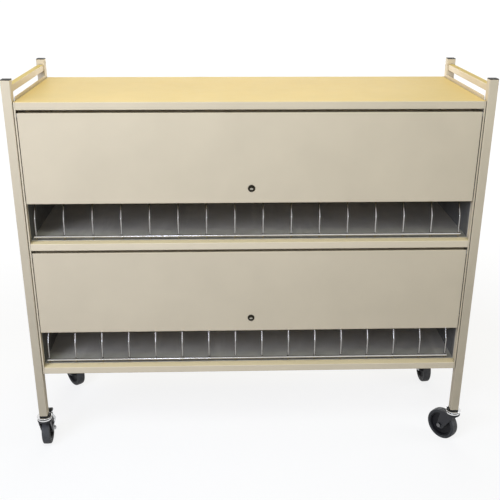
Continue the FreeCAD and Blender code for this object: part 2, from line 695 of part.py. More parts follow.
def make_bolt_bar(deck, sign):
    """Flat bar from the cam to the panel's right (+1) or left (-1) end."""
    z = lock_z(deck)
    middle = bar_z(deck, sign)
    inner_end = -sign * (CAM_PIN_OFFSET + CAM_PAD_D / 2 + BAR_END_SPARE)
    outer_end = sign * (PANEL_HALF + BOLT_BAR_PROTRUSION - BOLT_BAR_TRAVEL)
    x0, x1 = sorted((inner_end, outer_end))
    points = [V(x0, BAR_Y, middle - BAR_HEIGHT / 2), V(x1, BAR_Y, middle - BAR_HEIGHT / 2),
              V(x1, BAR_Y, middle + BAR_HEIGHT / 2), V(x0, BAR_Y, middle + BAR_HEIGHT / 2)]
    bar = prism(points, BAR_CORNER_R, V(0, BAR_THICKNESS, 0))
    half = CAM_PIN_D / 2 + BAR_SLOT_CLEARANCE
    pin_x = -sign * CAM_PIN_OFFSET
    orbit = CAM_PIN_OFFSET * math.sqrt(2)
    low, high = sorted((z + sign * (CAM_PIN_OFFSET - half), z + sign * (orbit + half)))
    y = BAR_Y - OVERLAP
    slot_points = [V(pin_x - half, y, low), V(pin_x + half, y, low),
                   V(pin_x + half, y, high), V(pin_x - half, y, high)]
    return bar.cut(prism(slot_points, half * 0.9, V(0, BAR_THICKNESS + 2 * OVERLAP, 0)))


def make_bar_guides(deck):
    """Blocks on the back of the panel's face that the bolt bars slide through."""
    gap = BAR_GUIDE_CLEARANCE
    guides = []
    for sign in (-1, 1):
        middle = bar_z(deck, sign)
        half = BAR_HEIGHT / 2 + gap
        for place in GUIDE_POSITIONS:
            x = sign * place
            block = [V(x - GUIDE_WIDTH / 2, PANEL_FACE + SHEET, middle - half - GUIDE_WALL),
                     V(x - GUIDE_WIDTH / 2, BAR_Y + BAR_THICKNESS + gap + GUIDE_WALL,
                       middle - half - GUIDE_WALL),
                     V(x - GUIDE_WIDTH / 2, BAR_Y + BAR_THICKNESS + gap + GUIDE_WALL,
                       middle + half + GUIDE_WALL),
                     V(x - GUIDE_WIDTH / 2, PANEL_FACE + SHEET, middle + half + GUIDE_WALL)]
            guide = prism(block, [0, GUIDE_CORNER_R, GUIDE_CORNER_R, 0], V(GUIDE_WIDTH, 0, 0))
            slot = box(x - GUIDE_WIDTH, x + GUIDE_WIDTH, BAR_Y - gap,
                       BAR_Y + BAR_THICKNESS + gap, middle - half, middle + half)
            guides.append(guide.cut(slot))
    return Part.makeCompound(guides)


def make_lock_strikes():
    """Steel tabs on the side panels that the locked bars lie behind."""
    strikes = []
    for deck in COMPARTMENTS.values():
        for sign in (-1, 1):
            x0, x1 = sorted((sign * SIDE_IN, sign * (SIDE_IN - STRIKE_REACH)))
            middle = bar_z(deck, sign)
            y1 = BAR_Y - STRIKE_GAP
            strikes.append(box(x0, x1, y1 - STRIKE_DEPTH, y1,
                               middle - STRIKE_HEIGHT / 2, middle + STRIKE_HEIGHT / 2))
    return Part.makeCompound(strikes)


# ---- casters --------------------------------------------------------------
# Each caster is drawn about its swivel axis on the floor with the wheel
# trailing towards +Y, then turned and set under its post.
def place_caster(shape, corner):
    sign_x, sign_y = CORNERS[corner]
    placed = shape.copy()
    placed.rotate(V(0, 0, 0), V(0, 0, 1), CASTER_TRAIL_DEG[corner])
    placed.translate(V(sign_x * POST_X, sign_y * POST_Y, 0))
    return placed


def revolved_z(outline):
    """Solid of revolution about Z from (radius, height) points."""
    points = [V(r, 0, z) for r, z in outline]
    face = Part.Face(Part.makePolygon(points + points[:1]))
    return face.revolve(V(0, 0, 0), V(0, 0, 1), 360)


def make_stem():
    """Chrome double race with the stem above it and the kingpin below."""
    race_r = RACE_D / 2
    lower_r = RACE_LOWER_D / 2
    waist_r = lower_r - RACE_GROOVE
    middle = (RACE_TOP + RACE_BOTTOM) / 2
    ease = RACE_GROOVE / 2
    pin_foot = CROWN_BOTTOM - RACE_GAP
    return revolved_z([
        (0, pin_foot - KINGPIN_HEAD_H), (KINGPIN_HEAD_D / 2, pin_foot - KINGPIN_HEAD_H),
        (KINGPIN_HEAD_D / 2, pin_foot), (KINGPIN_D / 2, pin_foot),
        (KINGPIN_D / 2, RACE_BOTTOM), (lower_r - ease, RACE_BOTTOM),
        (lower_r, RACE_BOTTOM + ease), (lower_r, middle - 2 * ease), (lower_r - ease, middle - ease),
        (waist_r, middle - ease), (waist_r, middle), (race_r - ease, middle),
        (race_r, middle + ease), (race_r, RACE_TOP - 2 * ease),
        (race_r - 2 * ease, RACE_TOP), (STEM_D / 2, RACE_TOP),
        (STEM_D / 2, CASTER_HEIGHT + STEM_LENGTH), (0, CASTER_HEIGHT + STEM_LENGTH)])


def make_socket():
    """Square bush in the post's end with a flange that carries the race."""
    half_in = POST / 2 - POST_WALL
    corners = ((-1, -1), (1, -1), (1, 1), (-1, 1))
    flange = prism([V(a * POST / 2, b * POST / 2, RACE_TOP) for a, b in corners],
                   POST_CORNER_R, V(0, 0, SOCKET_FLANGE))
    bush = prism([V(a * half_in, b * half_in, CASTER_HEIGHT) for a, b in corners],
                 POST_CORNER_R - POST_WALL, V(0, 0, SOCKET_LENGTH))
    bore = rod(STEM_D / 2, V(0, 0, RACE_TOP - OVERLAP),
               V(0, 0, CASTER_HEIGHT + SOCKET_LENGTH + OVERLAP))
    return fuse(flange, bush).cut(bore)


def make_fork(braked):
    """Pressed fork: round-nosed crown and two tapering legs. A braked fork has
    an ear on each leg for the pedal's pin."""
    crown = fuse(rod(CROWN_R, V(0, 0, CROWN_BOTTOM), V(0, 0, CROWN_TOP)),
                 box(-LEG_OUTER, LEG_OUTER, 0, CROWN_REAR - LEG_CORNER_R, CROWN_BOTTOM, CROWN_TOP))
    outline = [V(LEG_INNER, -LEG_FRONT, CROWN_TOP), V(LEG_INNER, CROWN_REAR, CROWN_TOP),
               V(LEG_INNER, TRAIL + LEG_FOOT_R, WHEEL_R - LEG_FOOT_R),
               V(LEG_INNER, TRAIL - LEG_FOOT_R, WHEEL_R - LEG_FOOT_R),
               V(LEG_INNER, -LEG_FRONT, CROWN_BOTTOM - LEG_SHOULDER_DROP)]
    foot_corner_r = LEG_FOOT_R * 0.8
    radii = [0, LEG_CORNER_R, foot_corner_r, foot_corner_r, LEG_CORNER_R]
    leg = prism(outline, radii, V(LEG_THICKNESS, 0, 0))
    if braked:
        pivot = V(LEG_INNER, PEDAL_PIVOT_Y, PEDAL_PIVOT_Z)
        ear = rod(EAR_R, pivot, pivot + V(LEG_THICKNESS, 0, 0))
        root = box(LEG_INNER, LEG_OUTER, PEDAL_PIVOT_Y - EAR_R, PEDAL_PIVOT_Y + EAR_R,
                   CROWN_BOTTOM - LEG_SHOULDER_DROP, PEDAL_PIVOT_Z)
        leg = fuse(leg, ear, root)
    fork = fuse(crown, leg, mirrored_x(leg))
    opening_start = RACE_D / 2 + CROWN_OPENING
    fork = fork.cut(box(-LEG_INNER, LEG_INNER, opening_start, WHEEL_D,
                        CROWN_BOTTOM - OVERLAP, CROWN_TOP + OVERLAP))
    fork = fork.cut(rod(KINGPIN_D / 2 + RUNNING_CLEARANCE, V(0, 0, CROWN_BOTTOM - OVERLAP),
                        V(0, 0, CROWN_TOP + OVERLAP)))
    end = LEG_OUTER + OVERLAP
    if braked:
        fork = fork.cut(across_fork(PEDAL_PIN_D / 2 + RUNNING_CLEARANCE, end,
                                    PEDAL_PIVOT_Y, PEDAL_PIVOT_Z))
    return fork.cut(across_fork(AXLE_D / 2, end, TRAIL, WHEEL_R))


def across_fork(radius, half_length, y, z):
    """Round bar through both legs."""
    return rod(radius, V(-half_length, y, z), V(half_length, y, z))


def make_axle_bolt(grip_end):
    """Bolt with its hexagon head on the left leg and its nut at grip_end."""
    centre = V(0, TRAIL, WHEEL_R)
    thread_end = grip_end + AXLE_HEX_H + AXLE_END_SPARE
    shank = rod(AXLE_D / 2, centre - V(LEG_OUTER, 0, 0), centre + V(thread_end, 0, 0))
    head = hexagon(AXLE_HEX_AF, centre - V(LEG_OUTER + AXLE_HEX_H, 0, 0), V(AXLE_HEX_H, 0, 0))
    nut = hexagon(AXLE_HEX_AF, centre + V(grip_end, 0, 0), V(AXLE_HEX_H, 0, 0))
    return fuse(shank, head, nut)


def make_brake_bracket():
    """Bent strap on the right leg, from the axle's nut up to the pedal's pin."""
    foot_top = WHEEL_R + BRACKET_FOOT_R
    head_low = PEDAL_PIVOT_Z - BRACKET_HEAD_R
    y0 = min(TRAIL - BRACKET_FOOT_R, PEDAL_PIVOT_Y - BRACKET_HEAD_R)
    y1 = max(TRAIL + BRACKET_FOOT_R, PEDAL_PIVOT_Y + BRACKET_HEAD_R)
    flare_z = foot_top + (head_low - foot_top) * BRACKET_FLARE_PLACE
    path = [V(LEG_OUTER, y0, WHEEL_R - BRACKET_FOOT_R), V(LEG_OUTER, y0, foot_top),
            V(LEG_OUTER + BRACKET_FLARE, y0, flare_z), V(LEG_OUTER, y0, head_low),
            V(LEG_OUTER, y0, PEDAL_PIVOT_Z + BRACKET_HEAD_R)]
    strap = bent_sheet(path, 1, V(0, y1 - y0, 0), BRACKET_THICKNESS)
    x = LEG_OUTER - OVERLAP
    outline = [V(x, TRAIL - BRACKET_FOOT_R, WHEEL_R - BRACKET_FOOT_R),
               V(x, TRAIL + BRACKET_FOOT_R, WHEEL_R - BRACKET_FOOT_R),
               V(x, TRAIL + BRACKET_FOOT_R, foot_top),
               V(x, PEDAL_PIVOT_Y + BRACKET_HEAD_R, head_low),
               V(x, PEDAL_PIVOT_Y + BRACKET_HEAD_R, PEDAL_PIVOT_Z + BRACKET_HEAD_R),
               V(x, PEDAL_PIVOT_Y - BRACKET_HEAD_R, PEDAL_PIVOT_Z + BRACKET_HEAD_R),
               V(x, PEDAL_PIVOT_Y - BRACKET_HEAD_R, head_low),
               V(x, TRAIL - BRACKET_FOOT_R, foot_top)]
    foot_r, head_r = BRACKET_FOOT_R * 0.9, BRACKET_HEAD_R * 0.9
    radii = [foot_r, foot_r, BEND_R, BEND_R, head_r, head_r, BEND_R, BEND_R]
    strap = strap.common(prism(outline, radii, V(BRACKET_FLARE + BRACKET_THICKNESS + 2 * OVERLAP, 0, 0)))
    end = LEG_OUTER + BRACKET_THICKNESS + OVERLAP
    strap = strap.cut(across_fork(AXLE_D / 2, end, TRAIL, WHEEL_R))
    return strap.cut(across_fork(PEDAL_PIN_D / 2 + RUNNING_CLEARANCE, end,
                                 PEDAL_PIVOT_Y, PEDAL_PIVOT_Z))


def make_axle(braked):
    """Axle bolt and nut, which also clamps the brake bracket on a braked caster."""
    if not braked:
        return make_axle_bolt(LEG_OUTER)
    return Part.makeCompound([make_axle_bolt(LEG_OUTER + BRACKET_THICKNESS),
                              make_brake_bracket()])


def revolved_wheel(outline):
    """Solid of revolution about the axle from (radius, sideways) points."""
    points = [V(s, TRAIL, WHEEL_R + r) for r, s in outline]
    face = Part.Face(Part.makePolygon(points + points[:1]))
    return face.revolve(V(0, TRAIL, WHEEL_R), V(1, 0, 0), 360)


def make_hub():
    """Wheel centre: hub, dished web and the rim under the tread."""
    hub_half = LEG_INNER - HUB_SIDE_GAP
    web_half = WEB_THICKNESS / 2
    rim_half = TREAD_WIDTH / 2 - RIM_INSET
    rim_in = TREAD_INNER_R - RIM_THICKNESS
    bore = AXLE_D / 2 + RUNNING_CLEARANCE
    hub_r = HUB_D / 2
    half_outline = [(bore, hub_half), (hub_r - HUB_DRAFT, hub_half),
                    (hub_r, web_half + WEB_FILLET), (hub_r + WEB_FILLET, web_half),
                    (rim_in - WEB_FILLET, web_half), (rim_in, rim_half),
                    (TREAD_INNER_R, rim_half)]
    return revolved_wheel(half_outline + [(r, -s) for r, s in reversed(half_outline)])


def make_tyre():
    """Tread ring with an eased shoulder on both sides."""
    half = TREAD_WIDTH / 2
    ease = TREAD_SHOULDER_R * (1 - math.sqrt(0.5))
    half_outline = [(TREAD_INNER_R, half), (WHEEL_R - TREAD_SHOULDER_R, half),
                    (WHEEL_R - ease, half - ease), (WHEEL_R, half - TREAD_SHOULDER_R)]
    return revolved_wheel(half_outline + [(r, -s) for r, s in reversed(half_outline)])


def make_pedal():
    """Brake pedal: pivot barrel with its pin, arched lever with a wide toe, brake shoe."""
    y, z = PEDAL_PIVOT_Y, PEDAL_PIVOT_Z
    barrel_half = LEG_INNER - PEDAL_SIDE_GAP
    half, toe_half = PEDAL_WIDTH / 2, PEDAL_TOE_WIDTH / 2
    barrel = across_fork(PEDAL_BARREL_D / 2, barrel_half, y, z)
    pin = rod(PEDAL_PIN_D / 2, V(-LEG_OUTER, y, z),
              V(LEG_OUTER + BRACKET_THICKNESS + PEDAL_PIN_SPARE, y, z))
    low = z - PEDAL_ROOT_DROP
    toe = y + PEDAL_REACH
    toe_low = low - PEDAL_TOE_DROP
    arch_end = toe - PEDAL_HUMP_BACK
    arch_start = arch_end - PEDAL_HUMP_LENGTH
    path = [(y, low), (toe, toe_low), (toe, toe_low + PEDAL_THICKNESS),
            (arch_end, z + PEDAL_HUMP), (arch_start, z + PEDAL_HUMP), (y, z + PEDAL_BARREL_D / 4)]
    radii = [0, PEDAL_TOE_R, PEDAL_TOE_R, PEDAL_ARCH_R, PEDAL_ARCH_R, 0]
    lever = prism([V(-toe_half, py, pz) for py, pz in path], radii, V(2 * toe_half, 0, 0))
    for x0, x1 in ((-toe_half - OVERLAP, -half), (half, toe_half + OVERLAP)):
        lever = lever.cut(box(x0, x1, y - PEDAL_BARREL_D, y + PEDAL_NECK,
                              toe_low - OVERLAP, z + PEDAL_HUMP + OVERLAP))
    shoe_y = y + SHOE_START
    shoe = box(-SHOE_WIDTH / 2, SHOE_WIDTH / 2, shoe_y, shoe_y + SHOE_LENGTH,
               WHEEL_D + SHOE_GAP, low + PEDAL_ROOT_DROP)
    return fuse(barrel, pin, lever, shoe)


# ---- build ----------------------------------------------------------------
def build_frame():
    for corner, (sign_x, sign_y) in CORNERS.items():
        save(corner + "_post", make_post(sign_x, sign_y))
    save("post_caps", Part.makeCompound([make_post_cap(*signs) for signs in CORNERS.values()]))
    save("left_handle", make_handle(-1))
    save("right_handle", make_handle(1))
    save("top_shelf", make_shelf(DECK_TOP, True))
    save("middle_shelf", make_shelf(DECK_MIDDLE, False))
    save("bottom_shelf", make_shelf(DECK_BOTTOM, True))
    side_panel = make_side_panel()
    save("right_side_panel", side_panel)
    save("left_side_panel", mirrored_x(side_panel))
    save("back_panel", make_back_panel())
    bolts = [make_frame_bolt(sign_x, sign_y, deck) for sign_x, sign_y in CORNERS.values()
             for deck in (DECK_TOP, DECK_MIDDLE, DECK_BOTTOM)]
    save("frame_bolts", Part.makeCompound(bolts))
    save("door_tracks", make_door_tracks())
    save("lock_strikes", make_lock_strikes())


def build_compartment(name, deck):
    save(name + "_liner", make_liner(deck))
    save(name + "_dividers", make_dividers(deck))
    save(name + "_rack_rails", make_rack_rails(deck))
    save(name + "_door_panel", make_door_panel(deck))
    save(name + "_door_shaft", make_door_shaft(deck))
    save(name + "_door_glides", make_door_glides(deck))
    save(name + "_lock_body", make_lock_body(deck))
    save(name + "_lock_plug", make_lock_plug(deck))
    save(name + "_lock_cam", make_lock_cam(deck))
    save(name + "_left_bolt_bar", make_bolt_bar(deck, -1))
    save(name + "_right_bolt_bar", make_bolt_bar(deck, 1))
    save(name + "_bar_guides", make_bar_guides(deck))


def build_casters():
    stem, socket = make_stem(), make_socket()
    hub, tyre, pedal = make_hub(), make_tyre(), make_pedal()
    save("caster_stems", Part.makeCompound([place_caster(stem, c) for c in CORNERS]))
    sockets = []
    for sign_x, sign_y in CORNERS.values():
        placed = socket.copy()
        placed.translate(V(sign_x * POST_X, sign_y * POST_Y, 0))
        sockets.append(placed)
    save("caster_sockets", Part.makeCompound(sockets))
    for corner in CORNERS:
        braked = corner in BRAKED
        save(corner + "_caster_fork", place_caster(make_fork(braked), corner))
        save(corner + "_caster_axle", place_caster(make_axle(braked), corner))
        save(corner + "_wheel_hub", place_caster(hub, corner))
        save(corner + "_tyre", place_caster(tyre, corner))
        if braked:
            save(corner + "_brake_pedal", place_caster(pedal, corner))


os.makedirs("parts", exist_ok=True)
build_frame()
for compartment, floor_level in COMPARTMENTS.items():
    build_compartment(compartment, floor_level)
build_casters()
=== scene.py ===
import bmesh
import bpy
import json
import math
from mathutils import Matrix, Vector, noise


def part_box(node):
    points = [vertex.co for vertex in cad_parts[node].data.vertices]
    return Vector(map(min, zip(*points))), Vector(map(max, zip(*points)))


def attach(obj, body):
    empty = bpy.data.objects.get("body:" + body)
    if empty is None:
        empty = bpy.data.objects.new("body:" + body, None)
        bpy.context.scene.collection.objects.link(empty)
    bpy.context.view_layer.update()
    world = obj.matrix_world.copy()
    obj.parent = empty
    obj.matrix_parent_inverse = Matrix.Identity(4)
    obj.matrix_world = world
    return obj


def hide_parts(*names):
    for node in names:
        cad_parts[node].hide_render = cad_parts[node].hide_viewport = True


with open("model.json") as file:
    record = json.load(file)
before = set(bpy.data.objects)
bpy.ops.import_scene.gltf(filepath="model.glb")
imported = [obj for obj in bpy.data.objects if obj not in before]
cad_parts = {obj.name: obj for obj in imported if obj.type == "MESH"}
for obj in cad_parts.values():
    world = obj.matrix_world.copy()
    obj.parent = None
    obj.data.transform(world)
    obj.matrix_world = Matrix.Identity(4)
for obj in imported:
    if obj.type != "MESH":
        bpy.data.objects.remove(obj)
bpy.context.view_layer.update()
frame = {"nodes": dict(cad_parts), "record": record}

# Medical chart rack. Metres, +Z up, +X to the user's right, the user stands at -Y.

# ---- sizes that repeat the part's own --------------------------------------------
WHEEL_R = 0.0508
TREAD_INNER_R = 0.0403
TREAD_WIDTH = 0.0254
TREAD_SHOULDER_R = 0.004
TRAIL = 0.034
HUB_R = 0.014
HUB_HALF = 0.0146
WEB_HALF = 0.0035
RIM_IN = 0.0363
RIM_HALF = 0.0115
AXLE_R = 0.004
POST_X = 0.6553
POST_Y = 0.2063
RACE_TOP = 0.1205
RACE_HEIGHT = 0.013
RACE_R = 0.0235
LOWER_RACE_R = 0.0215
CROWN_UNDERSIDE = 0.1031
KINGPIN_R = 0.004
RIVET_R = 0.007
RIVET_HEIGHT = 0.0020
RIVET_GAP = 0.0004
STEM_R = 0.00555
STEM_TOP = 0.163
RAIL_R = 0.003
WIRE_R = 0.0026
SLOTS = 15
CORNERS = {  # side of X, side of Y, degrees that the caster is turned by
    "front_left": (-1, -1, 4.0),
    "front_right": (1, -1, 39.0),
    "rear_left": (-1, 1, 219.0),
    "rear_right": (1, 1, 184.0),
}
COMPARTMENTS = ("upper", "lower")

# ---- sizes that only the pieces built here have ----------------------------------
TREAD_CROWN = 0.0004
TREAD_BAND = 0.0026  # depth of the worn rubber under the tread
WEB_MIDDLE_R = 0.0240
RACE_TOP_FALL = 0.0003
RACE_ROLL = 0.0016
RACE_WAIST_R = 0.0190
UPPER_RACE_FOOT = 0.1180
LOWER_RACE_TOP = 0.1136
LOWER_RACE_LIP = 0.0009
LOWER_RACE_BEND = 0.0024
WELD_SIZE = (0.0037, 0.0013, 0.0023)
WELD_RIPPLE, WELD_RIPPLE_SCALE = 0.10, 2.3
WELD_SEED_STEP = 3.7  # between two welds in the noise that makes them uneven
WELD_STAND_OFF = 0.98  # share of the rail's radius between its axis and a weld

# ---- node helpers ----------------------------------------------------------------
MIX_FIRST, MIX_SECOND, MIX_RESULT = 6, 7, 2  # the colour sockets of a mix node
EDGE_SAMPLES = 6
NOISE_LOW, NOISE_HIGH = 0.3, 0.7  # nearly all of a noise texture lies between these
EDGE_FLAT, EDGE_FOLDED = 0.985, 0.86  # dot product of the eased normal and the true one
GAP_SHADE_REACH = 0.026  # how far from a face another one can stand and still darken a seam with painted shade
LIT_ABOVE, SHADED_BELOW = 1.12, 0.45  # heights on a post: below the lower one painted shade is full, above the upper one it is gone
WHITE = (1.0, 1.0, 1.0)  # as a tint it changes nothing


class Nodes:
    """The node tree of a material or world, with short calls for what this scene uses.
    A value that goes into a node is a socket, a number, a vector or a colour."""

    def __init__(self, owner, output="ShaderNodeOutputMaterial"):
        owner.use_nodes = True
        self.owner = owner
        self.tree = owner.node_tree
        self.tree.nodes.clear()
        self.output = self.add(output)

    def add(self, kind, inputs=None, **settings):
        """New node with its settings, and with what goes into each named input."""
        node = self.tree.nodes.new(kind)
        for key, value in settings.items():
            setattr(node, key, value)
        for key, value in (inputs or {}).items():
            self.put(value, node.inputs[key])
        return node

    def put(self, value, target):
        """Link a socket to the target, or set the target to a value."""
        if isinstance(value, bpy.types.NodeSocket):
            self.tree.links.new(value, target)
        elif target.type == "RGBA":
            target.default_value = (*value, 1.0)
        else:
            target.default_value = value

    def place(self, stretch=(1, 1, 1)):
        """The row frame's own coordinates in metres, stretched along each axis."""
        own = self.add("ShaderNodeTexCoord").outputs["Object"]
        if stretch == (1, 1, 1):
            return own
        mapping = self.add("ShaderNodeMapping", {"Vector": own, "Scale": stretch})
        return mapping.outputs["Vector"]

    def noise(self, scale, detail=2.0, roughness=0.5, stretch=(1, 1, 1)):
        """Cloudy noise; scale counts its clouds along a metre."""
        node = self.add("ShaderNodeTexNoise", {
            "Scale": scale, "Detail": detail, "Roughness": roughness,
            "Vector": self.place(stretch)})
        return node.outputs["Fac"]

    def cells(self, scale, feature, output):
        """Uneven cells; scale counts them along a metre."""
        node = self.add("ShaderNodeTexVoronoi", {"Scale": scale, "Vector": self.place()},
                        feature=feature)
        return node.outputs[output]

    def spread(self, value, low, high, to_low=0.0, to_high=1.0):
        """The range from low to high laid over to_low to to_high, and held at its ends."""
        node = self.add("ShaderNodeMapRange", {
            "Value": value, "From Min": low, "From Max": high,
            "To Min": to_low, "To Max": to_high})
        return node.outputs["Result"]

    def mottle(self, scale, detail=2.0, roughness=0.5, to_low=0.0, to_high=1.0):
        """Noise that covers the whole of to_low to to_high."""
        return self.spread(self.noise(scale, detail, roughness), NOISE_LOW, NOISE_HIGH,
                           to_low, to_high)

    def blend(self, factor, first, second, how="MIX"):
        """Colour between first and second, or first multiplied by second."""
        node = self.add("ShaderNodeMix", {"Factor": factor, MIX_FIRST: first, MIX_SECOND: second},
                        data_type="RGBA", blend_type=how)
        return node.outputs[MIX_RESULT]

    def combine(self, operation, first, second=0.0):
        """Maths with numbers."""
        node = self.add("ShaderNodeMath", {0: first, 1: second}, operation=operation)
        return node.outputs["Value"]

    def vector(self, operation, first, second=(0, 0, 0)):
        """Maths with vectors; a dot product and a length are numbers."""
        node = self.add("ShaderNodeVectorMath", {0: first, 1: second}, operation=operation)
        return node.outputs["Value" if operation in ("DOT_PRODUCT", "LENGTH") else "Vector"]

    def normal(self):
        """The true shading normal, before any relief."""
        return self.add("ShaderNodeNewGeometry").outputs["Normal"]

    def along(self, axis, vector=None):
        """One coordinate of the vector, or else of the place."""
        whole = self.place() if vector is None else vector
        return self.add("ShaderNodeSeparateXYZ", {0: whole}).outputs[axis]

    def facing(self, axis, low, high):
        """1 on faces that look along the axis, 0 on those across it."""
        return self.spread(self.along(axis, self.normal()), low, high)

    def rounded(self, radius):
        """Shading normal of a part whose sharp folds and edges are eased."""
        return self.add("ShaderNodeBevel", {"Radius": radius},
                        samples=EDGE_SAMPLES).outputs["Normal"]

    def on_edges(self, radius):
        """1 along folds and edges, 0 on open faces."""
        eased = self.vector("DOT_PRODUCT", self.rounded(radius), self.normal())
        return self.spread(eased, EDGE_FOLDED, EDGE_FLAT, 1.0, 0.0)

    def shade_in_gaps(self, closed, open_):
        """1 deep in a seam or gap, 0 on open faces, from ambient occlusion; it places painted
        shade.
        """
        node = self.add("ShaderNodeAmbientOcclusion", {"Distance": GAP_SHADE_REACH},
                        samples=EDGE_SAMPLES)
        return self.spread(node.outputs["AO"], closed, open_, 1.0, 0.0)

    def shade_near_floor(self):
        """1 low on a post, falling unevenly to 0 at its top; it places painted shade on the lower
        end.
        """
        fade = self.spread(self.along("Z"), SHADED_BELOW, LIT_ABOVE, 1.0, 0.0)
        return self.combine("MULTIPLY", fade, self.mottle(26.0, 4.0, 0.65, 0.75, 1.0))

    def bump(self, height, strength, distance, below=None):
        """Normal with fine relief, over the normal below where there is one."""
        node = self.add("ShaderNodeBump", {"Strength": strength, "Distance": distance,
                                           "Height": height})
        if below is not None:
            self.put(below, node.inputs["Normal"])
        return node.outputs["Normal"]

    def surface(self, color, roughness, normal, metallic=0.0, specular=0.5):
        """Finish the material with its shader, and return it."""
        shader = self.add("ShaderNodeBsdfPrincipled", {
            "Base Color": color, "Roughness": roughness, "Normal": normal,
            "Metallic": metallic, "Specular IOR Level": specular})
        self.put(shader.outputs["BSDF"], self.output.inputs["Surface"])
        return self.owner


def new_material(name):
    return Nodes(bpy.data.materials.new(name))


def shade(color, factor, added=0.0):
    """Colour made darker or lighter, and held at 1."""
    return tuple(min(1.0, c * factor + added) for c in color)


# ---- materials -------------------------------------------------------------------
BEIGE = (0.79, 0.675, 0.48)
# Tint of faces that look up: painted warm light from above.
PAINTED_TOP_LIGHT = (1.0, 0.965, 0.82)
BRIGHT_CHROME = (0.74, 0.74, 0.74)
# Dark tone on the inner half of the races' tops: painted shade.
RACE_TOP_SHADE = (0.022, 0.021, 0.020)
LOCK_DARK = (0.028, 0.025, 0.018)
LOCK_RUBBED = (0.42, 0.40, 0.34)
RUB_BELOW_AXIS = 0.0014
RUB_BRIGHT_TO, RUB_DARK_FROM = 0.0028, 0.0042
RUB_SQUEEZE = (0.78, 0, 1.35)  # makes the rubbed spot an ellipse, wider than high
# Liner tints: painted shade on the end sheets, and on the floor's front under the door.
LINER_END_SHADE = (0.32, 0.33, 0.36)
LINER_FRONT_SHADE = (0.50, 0.50, 0.50)
LINER_LIT_Y, LINER_SHADED_Y = -0.10, -0.19


def powder_coat(name, color, roughness=(0.50, 0.60), specular=0.20, top_light_tint=WHITE,
                painted_shade=WHITE, gap_shade=(0.22, 0.66)):
    """Satin powder coat over folded sheet: orange peel, faint mottling, pinholes,
    eased folds where the coat runs thin, painted shade deep in each seam and gap,
    painted warm light on faces that look up, and painted shade that darkens a lower end."""
    n = new_material(name)
    tone = n.blend(n.mottle(5.0, 3.0, 0.6), shade(color, 0.97), shade(color, 1.03))
    pinholes = n.spread(n.noise(900.0, 2.0, 0.6), 0.64, 0.72, 0.0, 0.35)
    tone = n.blend(pinholes, tone, shade(color, 0.80))
    rubbed = n.spread(n.noise(130.0, 4.0, 0.7), 0.50, 0.66, 0.10, 0.55)
    thin_coat = n.combine("MULTIPLY", n.on_edges(0.0012), rubbed)
    tone = n.blend(thin_coat, tone, shade(color, 1.10))
    # Faces that look up get a warmer tint: painted light from above.
    tone = n.blend(n.facing("Z", 0.75, 0.97), tone, top_light_tint, "MULTIPLY")
    # The lower end is darkened where a tint is given: painted shade.
    if painted_shade != WHITE:
        tone = n.blend(n.shade_near_floor(), tone, painted_shade, "MULTIPLY")
    # Seams and gaps darken almost to black: painted shade.
    tone = n.blend(n.shade_in_gaps(*gap_shade), tone, shade(color, 0.09))
    peel = n.bump(n.noise(620.0, 2.0, 0.55), 0.10, 0.0004, n.rounded(0.0016))
    wave = n.bump(n.noise(9.0, 2.0, 0.4), 0.10, 0.0012, peel)
    return n.surface(tone, n.mottle(38.0, 4.0, 0.6, *roughness), wave, specular=specular)


def grained_sheet(name, color):
    """Extruded plastic sheet with a leather grain, rubbed by binders, with painted
    shade on the end sheets and along the floor's front."""
    n = new_material(name)
    tone = n.blend(n.mottle(7.0, 4.0, 0.6), shade(color, 0.86), shade(color, 1.12))
    rub = n.spread(n.noise(14.0, 5.0, 0.65, (1, 0.12, 1)), 0.55, 0.72, 0.0, 0.5)
    tone = n.blend(rub, tone, shade(color, 1.45))
    # End sheets darkened: painted shade.
    ends = n.combine("MAXIMUM", n.facing("X", 0.6, 0.9), n.facing("X", -0.6, -0.9))
    tone = n.blend(ends, tone, LINER_END_SHADE, "MULTIPLY")
    # The floor's front darkened: painted shade.
    front = n.spread(n.along("Y"), LINER_LIT_Y, LINER_SHADED_Y)
    painted_shade = n.combine("MULTIPLY", n.facing("Z", 0.6, 0.9), front)
    tone = n.blend(painted_shade, tone, LINER_FRONT_SHADE, "MULTIPLY")
    grain = n.bump(n.cells(750.0, "SMOOTH_F1", "Distance"), 0.35, 0.0004)
    return n.surface(tone, n.mottle(55.0, 3.0, 0.5, 0.50, 0.68), grain, specular=0.35)


def plated(name, color, roughness, scratch=0.04):
    """Bright plating over drawn steel, with faint handling marks and eased edges."""
    n = new_material(name)
    cloud = n.spread(n.noise(45.0, 3.0), 0.35, 0.65)
    tone = n.blend(cloud, shade(color, 0.93), shade(color, 1.04))
    smear = n.spread(n.noise(160.0, 4.0, 0.7), 0.4, 0.75, roughness * 0.75, roughness * 1.6)
    drawn = n.bump(n.noise(900.0), scratch, 0.0002, n.rounded(0.0005))
    return n.surface(tone, smear, drawn, metallic=1.0)


def lock_plug(name, centre):
    """Dark plating that the keys on their ring have rubbed bright below the keyway."""
    n = new_material(name)
    spot = (centre[0], centre[1], centre[2] - RUB_BELOW_AXIS)
    away = n.vector("MULTIPLY", n.vector("SUBTRACT", n.place(), spot), RUB_SQUEEZE)
    ragged = n.combine("MULTIPLY", n.vector("LENGTH", away), n.mottle(700.0, 3.0, 0.5, 0.85, 1.15))
    rubbed = n.spread(ragged, RUB_BRIGHT_TO, RUB_DARK_FROM, 1.0, 0.0)
    tone = n.blend(rubbed, LOCK_DARK, LOCK_RUBBED)
    smear = n.spread(n.noise(400.0, 4.0, 0.7), 0.4, 0.75, 0.18, 0.34)
    worn = n.bump(n.noise(900.0), 0.08, 0.0002, n.rounded(0.0003))
    return n.surface(tone, smear, worn, metallic=1.0)


